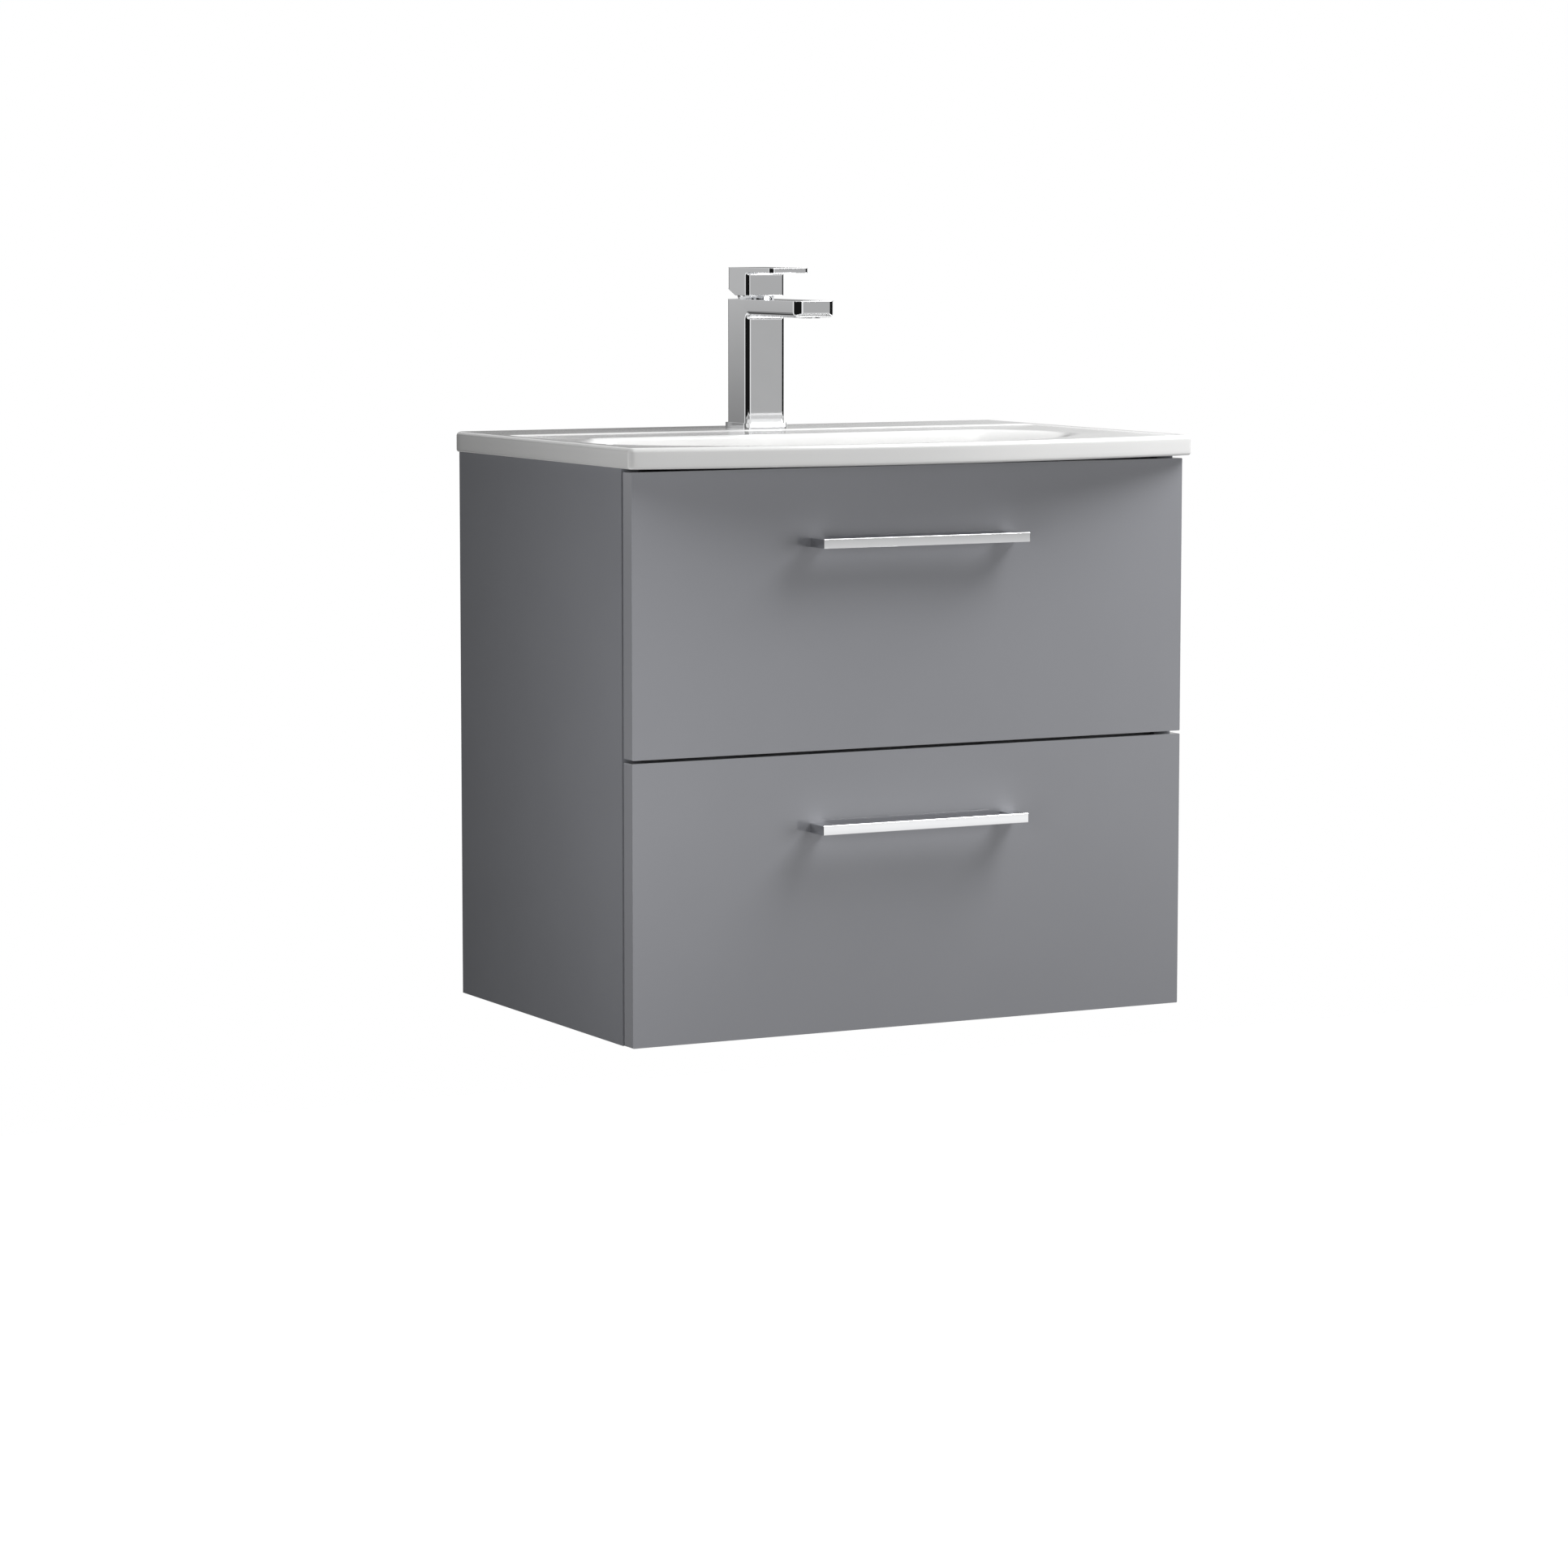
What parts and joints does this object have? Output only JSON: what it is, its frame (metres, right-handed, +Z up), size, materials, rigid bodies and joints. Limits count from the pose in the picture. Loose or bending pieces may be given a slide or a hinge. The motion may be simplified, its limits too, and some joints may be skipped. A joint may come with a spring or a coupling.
{
  "type": "bathroom vanity cabinet",
  "caption": "Wall-hung vanity unit: bow-fronted ceramic basin with square lever mixer tap over a grey gloss cabinet with drawers on telescopic runners and square bar handles.",
  "frame": {"origin": "where the wall plane, the middle of the cabinet and its underside meet", "axes": "+X to the right as seen by someone facing the cabinet, +Y into the wall, +Z up; the drawers and the tap face -Y"},
  "size_m": [0.61, 0.4299, 0.72],
  "materials": {
    "front_lacquer": "high-gloss light grey lacquer over board",
    "panel_foil": "smooth grey foil over chipboard, half gloss",
    "rail_board": "matt grey melamine over chipboard",
    "drawer_board": "light grey melamine over chipboard",
    "chrome": "polished chrome plate",
    "zinc_steel": "zinc-plated pressed steel",
    "ceramic": "white glaze",
    "white_plastic": "moulded white plastic",
    "rubber": "soft black rubber",
    "clear_buffer": "soft clear buffer dots",
    "brass": "turned brass"
  },
  "bodies": {
    "cabinet": {"side_panel_left": "panel_foil", "side_panel_right": "panel_foil", "base_panel": "panel_foil", "back_rail_top": "rail_board", "back_rail_bottom": "rail_board", "front_rail": "rail_board", "middle_rail": "rail_board", "carcass_cams": "zinc_steel", "hanger_left": "white_plastic", "hanger_right": "white_plastic", "hanger_hooks": "zinc_steel", "wall_plates": "zinc_steel", "upper_runner_outer": "zinc_steel", "lower_runner_outer": "zinc_steel", "runner_screws": "zinc_steel", "basin": "ceramic", "waste_body": "chrome", "waste_seals": "rubber", "waste_nut": "chrome", "trap_body": "white_plastic", "trap_cup": "white_plastic", "trap_nuts": "white_plastic", "trap_pipe": "white_plastic", "trap_wall_flange": "white_plastic", "tap_base": "chrome", "tap_body": "chrome", "tap_inlets": "brass", "tap_aerator": "chrome", "tap_dome": "chrome", "tap_cartridge": "white_plastic", "tap_stud": "brass", "tap_gasket": "rubber", "tap_horseshoe": "brass", "tap_nut": "brass"},
    "upper_drawer": {"upper_front": "front_lacquer", "upper_handle": "chrome", "upper_screws": "zinc_steel", "upper_side_left": "drawer_board", "upper_side_right": "drawer_board", "upper_back": "drawer_board", "upper_bottom": "drawer_board", "upper_pipe_guard": "drawer_board", "upper_buffers": "clear_buffer", "upper_runner_inner": "zinc_steel"},
    "lower_drawer": {"lower_front": "front_lacquer", "lower_handle": "chrome", "lower_screws": "zinc_steel", "lower_side_left": "drawer_board", "lower_side_right": "drawer_board", "lower_back": "drawer_board", "lower_bottom": "drawer_board", "lower_buffers": "clear_buffer", "lower_runner_inner": "zinc_steel"},
    "upper_runner_mid": {"upper_runner_middle": "zinc_steel"},
    "lower_runner_mid": {"lower_runner_middle": "zinc_steel"},
    "plug": {"waste_plug": "chrome"},
    "tap_swivel_body": {"tap_carrier": "white_plastic"},
    "lever": {"tap_lever": "chrome", "tap_stem": "zinc_steel", "tap_lever_screw": "zinc_steel"}
  },
  "joints": [
    {"name": "upper_drawer_slide", "type": "slide", "parent": "cabinet", "child": "upper_drawer", "axis": [0, -1, 0], "range_m": [0, 0.3]},
    {"name": "lower_drawer_slide", "type": "slide", "parent": "cabinet", "child": "lower_drawer", "axis": [0, -1, 0], "range_m": [0, 0.3]},
    {"name": "upper_runner_travel", "type": "slide", "parent": "cabinet", "child": "upper_runner_mid", "axis": [0, -1, 0], "range_m": [0, 0.15]},
    {"name": "lower_runner_travel", "type": "slide", "parent": "cabinet", "child": "lower_runner_mid", "axis": [0, -1, 0], "range_m": [0, 0.15]},
    {"name": "waste_plug_press", "type": "slide", "parent": "cabinet", "child": "plug", "axis": [0, 0, 1], "range_m": [-0.0078, 0], "stiffness_N_per_m": 300, "springref_m": 0.006},
    {"name": "tap_temperature", "type": "hinge", "parent": "cabinet", "child": "tap_swivel_body", "pos_m": [0, -0.058, 0.697], "axis": [0, 0, 1], "range_deg": [-45, 45]},
    {"name": "tap_lever_lift", "type": "hinge", "parent": "tap_swivel_body", "child": "lever", "pos_m": [0, -0.058, 0.697], "axis": [-1, 0, 0], "range_deg": [0, 22]}
  ],
  "couplings": [
    {"joint": "upper_runner_travel", "follows": "upper_drawer_slide", "ratio": 0.5},
    {"joint": "lower_runner_travel", "follows": "lower_drawer_slide", "ratio": 0.5}
  ]
}
